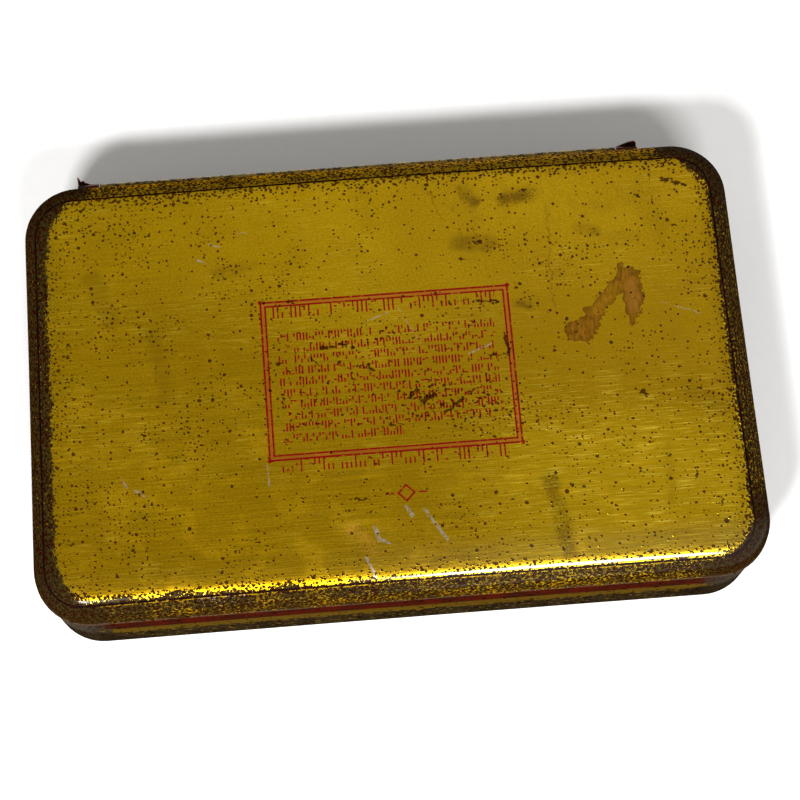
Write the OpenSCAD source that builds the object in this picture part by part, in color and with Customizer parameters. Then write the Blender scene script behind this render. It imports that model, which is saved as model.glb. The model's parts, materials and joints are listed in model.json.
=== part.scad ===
// A flat hinged tin: a deep drawn body, a shallow drawn lid that fits over its mouth,
// and a wire hinge along the rear edge. The origin is the middle of the resting face,
// +X runs along the tin, +Y points to the hinge and +Z points up.

/* [Overall size] */
// Length across the lid, left to right
tin_length = 137; // [125:0.5:150]
// Depth across the lid, front to rear
tin_depth = 86; // [78:0.5:95]
// Height from the resting face to the top of the lid
tin_height = 28.6; // [26:0.1:34]
// Corner radius of the lid, seen from above
corner_radius = 10.5; // [9:0.1:13]
// Thickness of the tinplate sheet
sheet = 0.3; // [0.26:0.01:0.32]

/* [Lid] */
// Height of the lid, from the top panel to the edge of the skirt
lid_height = 7; // [6.5:0.1:8]
// Outer radius of the rolled shoulder between the top panel and the skirt
shoulder_radius = 4.6; // [4:0.1:4.8]

/* [Body] */
// How far the body wall stands inside the outer face of the lid
wall_inset = 0.5; // [0.45:0.01:0.55]
// Outer radius of the roll between the floor and the wall
floor_radius = 2.6; // [2:0.1:4]
// How much further in the neck stands, where the lid slides over it
neck_step = 0.25; // [0.2:0.01:0.28]
// Distance from the top of the lid down to the rim of the neck
rim_drop = 3.05; // [3:0.01:3.3]
// Height of the hem folded inwards at the rim
hem_height = 1.8; // [1.2:0.1:2.2]

/* [Hinge] */
// Radius of the hinge wire
wire_radius = 0.7; // [0.6:0.01:0.7]
// Radial clearance between the wire and the curled sheet
wire_clearance = 0.05; // [0.02:0.01:0.08]
// Distance from the top of the lid down to the hinge axis
axis_drop = 7.5; // [7.4:0.01:7.6]
// Left end of the hinge
hinge_left = -58; // [-60:0.5:-50]
// Right end of the hinge
hinge_right = 52.5; // [45:0.5:58]
// Length of the body's lug at each end of the hinge
lug_length = 4; // [3:0.1:6]
// Gap between a lug and the lid's barrel, along the wire
knuckle_gap = 0.3; // [0.25:0.01:0.5]
// How far the flared ear of a lug reaches from the wire's knuckle
ear_reach = 1.9; // [1.2:0.1:2]
// Tilt of the ear above the horizontal
ear_tilt = 45; // [35:1:50]

/* [Hidden] */
$fn = 64;

// Distances from the centre to the middles of the corner arcs
arc_x = tin_length / 2 - corner_radius;
arc_y = tin_depth / 2 - corner_radius;
// Outer radii of the body's corners, at the wall and at the neck
wall_radius = corner_radius - wall_inset;
neck_radius = wall_radius - neck_step;
// How far below the lid's edge the neck begins
neck_below_lid = 0.6;
// Heights above the resting face
lid_edge_z = tin_height - lid_height;
neck_z = lid_edge_z - neck_below_lid;
rim_z = tin_height - rim_drop;
axis_z = tin_height - axis_drop;
// Knuckle radii, and the hinge axis: the barrel curls back from the skirt's own plane
bore_radius = wire_radius + wire_clearance;
knuckle_radius = bore_radius + sheet;
axis_y = tin_depth / 2 - sheet + knuckle_radius;
// How far the lid's curl stops short of the skirt, which leaves its seam open
curl_seam = 0.4;
// Room around a lug for the notch in the lid's skirt: beside it, and above the straight skirt
notch_side = 0.4;
notch_above = 0.1;
notch_top_z = tin_height - shoulder_radius + notch_above;
// How far the notch's cutting block runs past the sheet, inwards, outwards and below
cut_inwards = 2;
cut_outwards = 1;
cut_below = 1;
// The ear's outline, as parts of the lug's length and of the ear's reach
EAR_OUTLINE = [[0, 0], [0, 1], [0.3, 0.9], [0.7, 0.5], [1, 0.2], [1, 0]];
// The wire stops short of the lugs' ends
wire_recess = 0.2;

// The corners: which way each one lies from the centre, and the turn that faces it outwards
CORNERS = [[1, 1, 0], [-1, 1, 90], [-1, -1, 180], [1, -1, 270]];

// Sweeps a profile round the tin. Its x runs outwards from the corner arcs' middles, its y is height.
module swept_round() {
    for (corner = CORNERS)
        translate([corner[0] * arc_x, corner[1] * arc_y, 0])
            rotate([0, 0, corner[2]])
                rotate_extrude(angle = 90)
                    children();
    for (turn = [0, 180])
        rotate([0, 0, turn]) {
            translate([-arc_x, arc_y, 0])
                along_x(2 * arc_x)
                    children();
            translate([arc_x, arc_y, 0])
                rotate([90, 0, 0])
                    linear_extrude(2 * arc_y)
                        children();
        }
}

// Extrudes a profile along +X, with the profile's x towards the rear and its y upwards.
module along_x(length) {
    rotate([90, 0, 90])
        linear_extrude(length)
            children();
}

// The flat sheet between the swept sides, with its underside at the height z.
module flat_sheet(z) {
    translate([-arc_x, -arc_y, z])
        cube([2 * arc_x, 2 * arc_y, sheet]);
}

// A quarter of a ring one sheet thick, in the first quadrant.
module quarter_ring(outer_radius) {
    intersection() {
        difference() {
            circle(outer_radius);
            circle(outer_radius - sheet);
        }
        square(outer_radius);
    }
}

// Panel, rolled shoulder and skirt of the lid.
module lid_profile() {
    flat_width = corner_radius - shoulder_radius;
    translate([0, tin_height - sheet])
        square([flat_width, sheet]);
    translate([flat_width, tin_height - shoulder_radius])
        quarter_ring(shoulder_radius);
    translate([corner_radius - sheet, lid_edge_z])
        square([sheet, lid_height - shoulder_radius]);
}

// Floor, rolled lower edge, wall, neck and hemmed rim of the body.
module body_profile() {
    flat_width = wall_radius - floor_radius;
    square([flat_width, sheet]);
    translate([flat_width, floor_radius])
        mirror([0, 1])
            quarter_ring(floor_radius);
    translate([wall_radius - sheet, floor_radius])
        square([sheet, neck_z - floor_radius]);
    translate([neck_radius - sheet, neck_z - sheet])
        square([sheet, rim_z - neck_z]);
    translate([neck_radius - 2 * sheet, rim_z - hem_height])
        square([2 * sheet, hem_height - sheet]);
    translate([neck_radius - sheet, rim_z - sheet])
        circle(sheet);
}

// The space that a lug needs in the rear of the lid's skirt, from the given left end.
module lug_notch(left) {
    translate([left - notch_side, tin_depth / 2 - cut_inwards, lid_edge_z - cut_below])
        cube([lug_length + 2 * notch_side, cut_inwards + cut_outwards, notch_top_z - lid_edge_z + cut_below]);
}

// The lid's curl: down in the skirt's plane, round the wire and back, with its seam left open.
module curl_profile() {
    tab_height = lid_edge_z - axis_z;
    difference() {
        union() {
            circle(knuckle_radius);
            translate([-knuckle_radius, 0])
                square([sheet, tab_height]);
        }
        circle(bore_radius);
        translate([-knuckle_radius, tab_height])
            square([sheet + curl_seam, knuckle_radius]);
    }
}

// A lug: a tab lanced from the body wall passes under the wire and curls up round it.
module lug_profile() {
    wall_gap = axis_y - (tin_depth / 2 - wall_inset);
    difference() {
        union() {
            circle(knuckle_radius);
            translate([-wall_gap, -knuckle_radius])
                square([wall_gap, sheet]);
        }
        circle(bore_radius);
    }
}

// The flared ear of a lug: highest at the hinge's end, falling away towards the middle.
module ear() {
    translate([0, bore_radius + sheet / 2, 0])
        rotate([ear_tilt, 0, 0])
            translate([0, 0, -sheet / 2])
                linear_extrude(sheet)
                    polygon([for (point = EAR_OUTLINE) [point[0] * lug_length, point[1] * ear_reach]]);
}

// A whole lug, starting at x = 0 with its ear's high end and running towards +X.
module lug() {
    along_x(lug_length)
        lug_profile();
    ear();
}

module body_shell() {
    color([0.55, 0.12, 0.06]) {
        swept_round()
            body_profile();
        flat_sheet(0);
    }
}

module lid_shell() {
    color([0.72, 0.56, 0.08])
        difference() {
            union() {
                swept_round()
                    lid_profile();
                flat_sheet(tin_height - sheet);
            }
            lug_notch(hinge_left);
            lug_notch(hinge_right - lug_length);
        }
}

module lid_hinge_barrel() {
    left = hinge_left + lug_length + knuckle_gap;
    right = hinge_right - lug_length - knuckle_gap;
    color([0.6, 0.5, 0.2])
        translate([left, axis_y, axis_z])
            along_x(right - left)
                curl_profile();
}

module hinge_lug_left() {
    color([0.6, 0.1, 0.08])
        translate([hinge_left, axis_y, axis_z])
            lug();
}

module hinge_lug_right() {
    color([0.6, 0.1, 0.08])
        translate([hinge_right, axis_y, axis_z])
            mirror([1, 0, 0])
                lug();
}

module hinge_wire() {
    color([0.6, 0.6, 0.62])
        translate([hinge_left + wire_recess, axis_y, axis_z])
            rotate([0, 90, 0])
                cylinder(r = wire_radius, h = hinge_right - hinge_left - 2 * wire_recess);
}

body_shell();
lid_shell();
lid_hinge_barrel();
hinge_lug_left();
hinge_lug_right();
hinge_wire();
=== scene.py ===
"""A flat hinged tin dressed round its CAD frame. Shapes are in millimetres, in the row's own frame."""

import json
import math

import bmesh
import bpy
import numpy as np
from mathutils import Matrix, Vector


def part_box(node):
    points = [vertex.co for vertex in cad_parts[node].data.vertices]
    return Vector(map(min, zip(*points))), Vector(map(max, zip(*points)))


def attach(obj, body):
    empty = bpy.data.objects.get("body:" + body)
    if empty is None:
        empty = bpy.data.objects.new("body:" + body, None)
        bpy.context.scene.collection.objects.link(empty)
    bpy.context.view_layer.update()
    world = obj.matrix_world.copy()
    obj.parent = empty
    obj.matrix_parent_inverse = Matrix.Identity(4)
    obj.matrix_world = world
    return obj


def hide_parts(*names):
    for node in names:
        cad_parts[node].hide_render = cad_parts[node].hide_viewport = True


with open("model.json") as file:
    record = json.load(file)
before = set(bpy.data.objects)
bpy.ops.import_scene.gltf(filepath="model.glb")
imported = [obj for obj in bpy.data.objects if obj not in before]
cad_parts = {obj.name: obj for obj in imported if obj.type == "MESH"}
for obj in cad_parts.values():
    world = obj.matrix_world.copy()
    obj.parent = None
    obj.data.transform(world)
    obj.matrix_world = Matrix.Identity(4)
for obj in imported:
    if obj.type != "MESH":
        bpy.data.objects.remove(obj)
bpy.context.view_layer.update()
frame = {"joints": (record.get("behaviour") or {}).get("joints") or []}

MM = 0.001
# Points closer than this, in metres, become one
SAME_POINT = 2e-7


def box_mm(node):
    """Lowest and highest corner of a CAD node, in millimetres."""
    low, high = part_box(node)
    return low / MM, high / MM


# --- Sizes, read from the frame or chosen here ---
LID_LOW, LID_HIGH = box_mm("lid_shell")
_, BODY_HIGH = box_mm("body_shell")
BARREL_LOW, BARREL_HIGH = box_mm("lid_hinge_barrel")
HALF_LENGTH = LID_HIGH.x
HALF_DEPTH = LID_HIGH.y
TOP = LID_HIGH.z
LID_EDGE = LID_LOW.z
SHEET = 0.3
CORNER = 10.5
ARC_X = HALF_LENGTH - CORNER
ARC_Y = HALF_DEPTH - CORNER
WALL = BODY_HIGH.x - ARC_X

# The printed border line, a little off centre on the lid
BORDER_INSET = 3.35
BORDER_SHIFT = (-0.56, -1.05)

# The printed notice's first row of small strokes, and the step from row to row
NOTICE_ROW = 6.8
NOTICE_PITCH = 2.2

# The hinge's axis, from the frame's joint, and its curled sheet
HINGE = Vector(frame["joints"][0]["pos_m"]) / MM
CURL_MIDDLE = 0.9
STRIP_SHEET = SHEET * 0.96
EAR_SHEET = SHEET * 0.8
CURL_LEFT = BARREL_LOW.x
CURL_RIGHT = BARREL_HIGH.x

# The bands on the body's side, as heights above the table
RED_BOTTOM = TOP - 14.6
GOLD_BOTTOM = TOP - 18.2


# --- Small shape tools ---
def arc(cx, cz, radius, start, end, steps):
    """Points on an arc, angles in degrees, both ends included."""
    angles = np.radians(np.linspace(start, end, steps + 1))
    return [(cx + radius * math.cos(a), cz + radius * math.sin(a)) for a in angles]


def run(start, end, steps):
    """Evenly spaced points from just after start up to end."""
    start, end = np.array(start, float), np.array(end, float)
    return [tuple(start + (end - start) * k / steps) for k in range(1, steps + 1)]


def mesh_object(name, points, faces, material_index=None, smooth=True):
    """A mesh from millimetre points, with its doubles merged and its normals facing out."""
    mesh = bpy.data.meshes.new(name)
    mesh.from_pydata([tuple(float(c) * MM for c in p) for p in points], [], [tuple(f) for f in faces])
    if material_index is not None:
        mesh.polygons.foreach_set("material_index", material_index)
    work = bmesh.new()
    work.from_mesh(mesh)
    bmesh.ops.remove_doubles(work, verts=work.verts, dist=SAME_POINT)
    bmesh.ops.recalc_face_normals(work, faces=work.faces)
    for face in work.faces:
        face.smooth = smooth
    work.to_mesh(mesh)
    work.free()
    thing = bpy.data.objects.new(name, mesh)
    bpy.context.scene.collection.objects.link(thing)
    return thing


# How finely the long sides, the short sides and each corner are cut
LONG_STEPS = 104
SHORT_STEPS = 58
CORNER_STEPS = 14


def stations():
    """Base points round the tin's inner rectangle and the outward direction at each."""
    base, outward, rear = [], [], []
    corners = [(1, 1, 0), (-1, 1, 90), (-1, -1, 180), (1, -1, 270)]
    for number, (sx, sy, turn) in enumerate(corners):
        for k in range(CORNER_STEPS + 1):
            angle = math.radians(turn + 90 * k / CORNER_STEPS)
            base.append((sx * ARC_X, sy * ARC_Y))
            outward.append((math.cos(angle), math.sin(angle)))
            rear.append(0.0)
        nx, ny, _ = corners[(number + 1) % 4]
        steps = LONG_STEPS if number % 2 == 0 else SHORT_STEPS
        for k in range(1, steps):
            t = k / steps
            base.append(((sx + (nx - sx) * t) * ARC_X, (sy + (ny - sy) * t) * ARC_Y))
            angle = math.radians(turn + 90)
            outward.append((round(math.cos(angle)), round(math.sin(angle))))
            rear.append(1.0 if number == 0 else 0.0)
    return np.array(base), np.array(outward), np.array(rear)


def drawn_shell(name, profile, outer_count, bead=None):
    """A sheet shell swept round the tin. The profile runs from the middle of the outer face, round the
    edge and back to the middle of the inner face. Faces past outer_count take the second material."""
    base, outward, rear = stations()
    profile = np.array(profile, float)
    bead = np.zeros(len(profile)) if bead is None else np.array(bead, float)
    count, length = len(base), len(profile)
    reach = profile[None, :, 0] + bead[None, :] * (1.0 - rear[:, None])
    xy = base[:, None, :] + outward[:, None, :] * reach[:, :, None]
    z = np.broadcast_to(profile[None, :, 1], (count, length))
    points = np.concatenate([xy, z[:, :, None]], axis=2).reshape(-1, 3)
    faces, slots = [], []
    for i in range(count):
        after = (i + 1) % count
        for j in range(length - 1):
            faces.append((i * length + j, after * length + j, after * length + j + 1, i * length + j + 1))
            slots.append(0 if j < outer_count else 1)
    points = list(map(tuple, points))
    for level, slot in ((profile[0, 1], 0), (profile[-1, 1], 1)):
        first = len(points)
        for iy in range(SHORT_STEPS + 1):
            for ix in range(LONG_STEPS + 1):
                x = ARC_X * (1 - 2 * ix / LONG_STEPS)
                y = ARC_Y * (1 - 2 * iy / SHORT_STEPS)
                points.append((x, y, level))
        row = LONG_STEPS + 1
        for iy in range(SHORT_STEPS):
            for ix in range(LONG_STEPS):
                a = first + iy * row + ix
                faces.append((a, a + 1, a + row + 1, a + row))
                slots.append(slot)
    return mesh_object(name, points, faces, slots)


def waves(x, y, seed, shortest, longest):
    """A smooth field of about plus or minus one: a few sine waves in seeded directions."""
    rng = np.random.RandomState(seed)
    total = np.zeros_like(x)
    for _ in range(7):
        angle = rng.uniform(0, math.pi)
        length = rng.uniform(shortest, longest)
        phase = rng.uniform(0, 2 * math.pi)
        total += np.sin((x * math.cos(angle) + y * math.sin(angle)) * 2 * math.pi / length + phase)
    return total / 7


def smoothstep(value, low, high):
    t = np.clip((value - low) / (high - low), 0, 1)
    return t * t * (3 - 2 * t)


# How much lower the tin's ends sit than its middle, and how far its walls draw in between the corners
END_SAG = 0.32
WALL_PULL = 0.07
# Dents in the lid: place, radius and depth
LID_DENTS = [
    (31.5, 20.0, 5.0, 0.05),
    (-24.0, -19.0, 9.0, 0.06),
    (-47.0, 22.0, 12.0, 0.07),
    (52.0, -22.0, 11.0, 0.06),
    (6.0, -33.0, 8.0, 0.05),
]


def settle(thing, is_lid):
    """Bends a shell a little, so that it lies and reflects like old tinplate."""
    mesh = thing.data
    co = np.zeros(len(mesh.vertices) * 3)
    mesh.vertices.foreach_get("co", co)
    co = co.reshape(-1, 3) / MM
    x, y, z = co[:, 0], co[:, 1], co[:, 2]
    height = z / TOP
    drop = END_SAG * (x / HALF_LENGTH) ** 2
    inset = np.minimum(HALF_LENGTH - np.abs(x), HALF_DEPTH - np.abs(y))
    on_panel = smoothstep(inset, 1.5, 12.0)
    if is_lid:
        drop += on_panel * 0.05 * (1 + waves(x, y, 11, 22, 60))
        for dent_x, dent_y, radius, depth in LID_DENTS:
            away = (x - dent_x) ** 2 + (y - dent_y) ** 2
            drop += on_panel * depth * np.exp(-away / radius ** 2)
    co[:, 2] = z - drop * height
    # The long walls also wave along their length
    flat_side = smoothstep(HALF_LENGTH - np.abs(x), CORNER, 45) * (np.abs(y) > ARC_Y)
    flat_end = smoothstep(HALF_DEPTH - np.abs(y), CORNER, 36) * (np.abs(x) > ARC_X)
    outer_y = smoothstep(np.abs(y), ARC_Y + 2, HALF_DEPTH - 1)
    outer_x = smoothstep(np.abs(x), ARC_X + 2, HALF_LENGTH - 1)
    pull = WALL_PULL * (1 + 0.6 * waves(x, z * 2, 5, 18, 50))
    if is_lid:
        pull *= y < 0
    co[:, 1] -= np.sign(y) * flat_side * outer_y * pull
    co[:, 0] -= np.sign(x) * flat_end * outer_x * WALL_PULL
    mesh.vertices.foreach_set("co", (co * MM).reshape(-1))
    mesh.update()


# --- The two shells ---
def lid_profile():
    """Outer face: panel, soft edge, rolled shoulder, skirt and its small bead; then the inner face."""
    soft_start, soft_end, soft_drop = 2.9, 6.0, 0.2
    slope = 2 * soft_drop / (soft_end - soft_start)
    turn = math.degrees(math.atan(slope))
    skirt = CORNER - 0.2
    radius = (skirt - soft_end) / (1 - math.sin(math.radians(turn)))
    middle_x = skirt - radius
    middle_z = TOP - soft_drop - radius * math.cos(math.radians(turn))
    soft = []
    for k in range(1, 6):
        x = soft_start + (soft_end - soft_start) * k / 6
        soft.append((x, soft_drop * ((x - soft_start) / (soft_end - soft_start)) ** 2))
    outer = [(x, TOP) for x in (0.0, 1.0, 2.0, soft_start)]
    outer += [(x, TOP - drop) for x, drop in soft]
    outer += arc(middle_x, middle_z, radius, 90 - turn, 0, 14)
    outer += run((skirt, middle_z), (skirt, LID_EDGE + 0.8), 2)
    outer_bead = [0.0] * len(outer)
    edge = arc(skirt - SHEET / 2, LID_EDGE + SHEET / 2, SHEET / 2, 0, -180, 6)
    lip = [(skirt, LID_EDGE + 0.6), (skirt, LID_EDGE + 0.4), (skirt, LID_EDGE + 0.25)] + edge
    lip_bead = [0.1, 0.18, 0.2] + [0.2] * len(edge)
    inner = run((skirt - SHEET, LID_EDGE + 0.3), (skirt - SHEET, middle_z), 3)
    inner += arc(middle_x, middle_z, radius - SHEET, 0, 90 - turn, 12)
    inner += [(x, TOP - SHEET - drop) for x, drop in reversed(soft)]
    inner += [(x, TOP - SHEET) for x in (soft_start, 2.0, 1.0, 0.0)]
    bead = outer_bead + lip_bead + [0.1, 0.0, 0.0] + [0.0] * (len(inner) - 3)
    return outer + lip + inner, bead, len(outer) + len(lip) - 3


def body_profile():
    """Outer face: floor, lower roll, wall, step, neck and hemmed rim; then the inner face."""
    roll = 2.6
    step_top = LID_EDGE - 0.55
    neck = WALL - 0.25
    rim = BODY_HIGH.z - 0.35
    hem = 0.3
    outer = [(x, 0.0) for x in (0.0, 2.0, 4.0, 6.0)]
    outer += arc(WALL - roll, roll, roll, -90, 0, 12)
    outer += run((WALL, roll), (WALL, step_top - 0.5), 10)
    outer += [(WALL - 0.04, step_top - 0.36), (WALL - 0.125, step_top - 0.25)]
    outer += [(neck + 0.04, step_top - 0.12), (neck, step_top)]
    outer += run((neck, step_top), (neck, rim - hem), 4)
    top_edge = arc(neck - hem, rim - hem, hem, 0, 180, 8)[1:]
    inside = neck - 2 * hem
    inner = run((inside, rim - hem), (inside, rim - 1.75), 2)
    inner += [(inside + 0.06, rim - 1.85), (inside + 0.2, rim - 1.9), (neck - hem, rim - 1.95)]
    inner += run((neck - hem, rim - 1.95), (neck - hem, step_top - 0.2), 3)
    inner += [(neck - hem + 0.12, step_top - 0.4), (WALL - hem, step_top - 0.6)]
    inner += run((WALL - hem, step_top - 0.6), (WALL - hem, roll), 8)
    inner += arc(WALL - roll, roll, roll - SHEET, 0, -90, 8)[1:]
    inner += [(x, SHEET) for x in (6.0, 4.0, 2.0, 0.0)]
    return outer + top_edge + inner, len(outer) + 4


def cut_notches(lid):
    """Cuts the two places in the rear of the skirt where the body's lugs stand."""
    side_gap = 0.35
    front, rear = 40.0, 44.0
    for number, node in enumerate(("hinge_lug_left", "hinge_lug_right")):
        low, high = box_mm(node)
        left, right = low.x - side_gap, high.x + side_gap
        points = []
        for z in (LID_EDGE - 2, LID_EDGE + 2.35):
            points += [(left, front, z), (right, front, z), (right, rear, z), (left, rear, z)]
        faces = [(0, 1, 2, 3), (4, 5, 6, 7), (0, 1, 5, 4), (1, 2, 6, 5), (2, 3, 7, 6), (3, 0, 4, 7)]
        cutter = mesh_object(f"notch_cutter_{number}", points, faces, smooth=False)
        cut = lid.modifiers.new("notch", "BOOLEAN")
        cut.object = cutter
        cut.operation = "DIFFERENCE"
        cut.solver = "EXACT"
        bpy.context.view_layer.objects.active = lid
        bpy.ops.object.modifier_apply(modifier=cut.name)
        bpy.data.objects.remove(cutter)


# --- The hinge ---
def thick_strip(name, grid, thickness):
    """A closed sheet from a grid of middle points, given thickness along its own normals."""
    grid = np.array(grid, float)
    rows, cols = grid.shape[:2]
    along = np.gradient(grid, axis=0)
    across = np.gradient(grid, axis=1)
    normal = np.cross(along, across)
    normal /= np.linalg.norm(normal, axis=2, keepdims=True)
    points = np.concatenate([grid + normal * thickness / 2, grid - normal * thickness / 2]).reshape(-1, 3)
    faces = []
    offset = rows * cols

    def at(side, i, j):
        return side * offset + i * cols + j

    for i in range(rows - 1):
        for j in range(cols - 1):
            for side in (0, 1):
                here, beyond = at(side, i, j), at(side, i + 1, j)
                faces.append((here, beyond, beyond + 1, here + 1))
    for i in range(rows - 1):
        for j in (0, cols - 1):
            faces.append((at(0, i, j), at(0, i + 1, j), at(1, i + 1, j), at(1, i, j)))
    for j in range(cols - 1):
        for i in (0, rows - 1):
            faces.append((at(0, i, j), at(0, i, j + 1), at(1, i, j + 1), at(1, i, j)))
    return mesh_object(name, points, faces)


def lid_curl():
    """The lid's strip: down from the skirt, under the wire, up behind it and over."""
    lengths = np.linspace(CURL_LEFT, CURL_RIGHT, 120)
    wobble = waves(lengths, lengths * 0, 3, 9, 40)
    grid = []
    for x, wave in zip(lengths, wobble, strict=True):
        middle = CURL_MIDDLE + 0.02 * wave
        path = [(-CURL_MIDDLE, 0.62), (-CURL_MIDDLE, 0.3)]
        path += arc(0, 0, middle, 180, 180 + 268 + 8 * wave, 26)
        grid.append([(x, HINGE.y + u, HINGE.z + v) for u, v in path])
    return thick_strip("lid_hinge_strip", grid, STRIP_SHEET)


def lug_parts(name, outer_end, inner_end, ear_height):
    """One lug of the body: a tab curled round the wire, and the ear that stands up behind it."""
    steps, ear_steps = 14, 6
    lean_low, lean_more = 38, 14
    wall_gap = HINGE.y - BODY_HIGH.y
    tab_grid, ear_grid = [], []
    for k in range(steps + 1):
        t = k / steps
        x = outer_end + (inner_end - outer_end) * t
        path = [(-wall_gap + 0.02, -CURL_MIDDLE - 0.25), (-wall_gap + 0.18, -CURL_MIDDLE)]
        path += run((-wall_gap + 0.18, -CURL_MIDDLE), (-0.1, -CURL_MIDDLE), 2)
        path += arc(0, 0, CURL_MIDDLE, -90, 185 - 25 * t, 22)
        tab_grid.append([(x, HINGE.y + u, HINGE.z + v) for u, v in path])
        height = ear_height(t)
        ear = []
        for m in range(ear_steps + 1):
            s = m / ear_steps
            lean = math.radians(lean_low + lean_more * s)
            reach = height * s
            u = CURL_MIDDLE + 0.05 + reach * math.cos(lean)
            v = -0.1 + reach * math.sin(lean)
            ear.append((x, HINGE.y + u, HINGE.z + v))
        ear_grid.append(ear)
    tab = thick_strip(name, tab_grid, STRIP_SHEET)
    ear = thick_strip(name + "_ear", ear_grid, EAR_SHEET)
    bpy.ops.object.select_all(action="DESELECT")
    for thing in (tab, ear):
        thing.select_set(True)
    bpy.context.view_layer.objects.active = tab
    bpy.ops.object.join()
    return tab


def torn_ear(t):
    """Height of the left ear: a sharp torn point at its outer end, then ragged steps."""
    ragged = 0.16 * math.sin(31 * t) + 0.1 * math.sin(67 * t + 1)
    return max(0.25, 1.95 * (1 - t) ** 2.1 + ragged * (1 - t) - 0.25 * math.exp(-((t - 0.14) / 0.07) ** 2))


def bent_ear(t):
    """Height of the right ear: a rounded bump that falls away towards the middle."""
    return max(0.25, 1.3 * math.cos(1.35 * max(0.0, t - 0.1)) ** 1.6 - 0.5 * math.exp(-(t / 0.05) ** 2))


def hinge_wire():
    """The wire, with rounded ends and a very slight wave along it."""
    low, high = box_mm("hinge_wire")
    radius = 0.97 * (high.y - low.y) / 2
    sides = 20
    shoulders = [(0.0, 0.05), (0.05, 0.5), (0.15, 0.82), (0.35, 1.0)]
    spots = [(low.x + along, size) for along, size in shoulders]
    spots += [(x, 1.0) for x in np.linspace(low.x + 2, high.x - 2, 60)]
    spots += [(high.x - along, size) for along, size in reversed(shoulders)]
    points, faces = [], []
    for x, size in spots:
        sway = 0.015 * math.sin(x * 0.21)
        for k in range(sides):
            angle = 2 * math.pi * k / sides
            out, up = math.cos(angle), math.sin(angle)
            points.append((x, HINGE.y + sway + radius * size * out, HINGE.z + radius * size * up))
    for i in range(len(spots) - 1):
        for k in range(sides):
            after = (k + 1) % sides
            faces.append((i * sides + k, i * sides + after, (i + 1) * sides + after, (i + 1) * sides + k))
    faces.append(tuple(range(sides)))
    faces.append(tuple((len(spots) - 1) * sides + k for k in range(sides)))
    return mesh_object("hinge_wire_drawn", points, faces)


# --- Material tools ---
def operator(operation, swapped=False):
    """A method that adds a Math node. Swapped is for a number that stands before the Value."""
    def method(self, *other):
        values = (*other, self) if swapped else (self, *other)
        return self.nodes.math(operation, *values)
    return method


class Value:
    """One output of a shader node, which can be used in sums like a number."""
    __add__ = operator("ADD")
    __radd__ = operator("ADD", swapped=True)
    __sub__ = operator("SUBTRACT")
    __rsub__ = operator("SUBTRACT", swapped=True)
    __mul__ = operator("MULTIPLY")
    __rmul__ = operator("MULTIPLY", swapped=True)
    __lt__ = operator("LESS_THAN")
    __gt__ = operator("GREATER_THAN")
    __abs__ = operator("ABSOLUTE")
    sign = operator("SIGN")
    floor = operator("FLOOR")
    fraction = operator("FRACT")

    def __init__(self, nodes, socket):
        self.nodes = nodes
        self.socket = socket

    def ease(self, low, high, to_low=0.0, to_high=1.0):
        """A smooth step from low to high."""
        values = (self, low, high, to_low, to_high)
        smooth = {"interpolation_type": "SMOOTHSTEP", "clamp": False}
        return self.nodes.out("ShaderNodeMapRange", values, "Result", **smooth)


class Nodes:
    """Adds shader nodes to one tree. Inputs may be Values or plain numbers."""

    def __init__(self, tree):
        self.tree = tree

    def plug(self, socket, value):
        if isinstance(value, Value):
            self.tree.links.new(value.socket, socket)
        elif isinstance(value, tuple) and len(value) == 3 and socket.type == "RGBA":
            socket.default_value = (*value, 1.0)
        else:
            socket.default_value = value

    def node(self, kind, values=(), **settings):
        node = self.tree.nodes.new(kind)
        for name, setting in settings.items():
            setattr(node, name, setting)
        for socket, value in zip(node.inputs, values):
            self.plug(socket, value)
        return node

    def out(self, kind, values, output=0, **settings):
        """Adds a node and gives one of its outputs."""
        return Value(self, self.node(kind, values, **settings).outputs[output])

    def math(self, operation, *values):
        return self.out("ShaderNodeMath", values, operation=operation)

    def vector(self, operation, *values):
        output = "Value" if operation in ("DOT_PRODUCT", "LENGTH", "DISTANCE") else "Vector"
        return self.out("ShaderNodeVectorMath", values, output, operation=operation)

    def scaled(self, vector, factor):
        node = self.node("ShaderNodeVectorMath", [vector], operation="SCALE")
        self.plug(node.inputs["Scale"], factor)
        return Value(self, node.outputs["Vector"])

    def texture(self, kind, vector, size, **inputs):
        """A texture node whose largest lumps are about size millimetres across."""
        node = self.node(kind)
        inputs.update(Vector=vector, Scale=self.math("DIVIDE", 1.0, size))
        for label, value in inputs.items():
            self.plug(node.inputs[label], value)
        return node

    def split(self, value):
        return [Value(self, socket) for socket in self.node("ShaderNodeSeparateXYZ", [value]).outputs]

    def pack(self, x, y, z=0.0):
        return self.out("ShaderNodeCombineXYZ", (x, y, z))

    def least(self, *values, operation="MINIMUM"):
        total = values[0]
        for value in values[1:]:
            total = self.math(operation, total, value)
        return total

    def most(self, *values):
        return self.least(*values, operation="MAXIMUM")


def tool(name, inputs, outputs, build):
    """A node group. Inputs and outputs are names with their kinds; build gets the inputs in order."""
    group = bpy.data.node_groups.new(name, "ShaderNodeTree")
    kinds = {"number": "NodeSocketFloat", "vector": "NodeSocketVector"}
    for label, kind in inputs:
        group.interface.new_socket(label, in_out="INPUT", socket_type=kinds[kind])
    for label in outputs:
        kind = "vector" if label == "Place" else "number"
        group.interface.new_socket(label, in_out="OUTPUT", socket_type=kinds[kind])
    nodes = Nodes(group)
    given = group.nodes.new("NodeGroupInput").outputs
    results = build(nodes, *[Value(nodes, given[label]) for label, _ in inputs])
    ends = group.nodes.new("NodeGroupOutput").inputs
    for label, result in zip(outputs, results, strict=True):
        nodes.plug(ends[label], result)
    return group


def build_object_place(nodes):
    """The object's own coordinates, in millimetres."""
    return [nodes.scaled(nodes.out("ShaderNodeTexCoord", (), "Object"), 1 / MM)]


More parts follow.
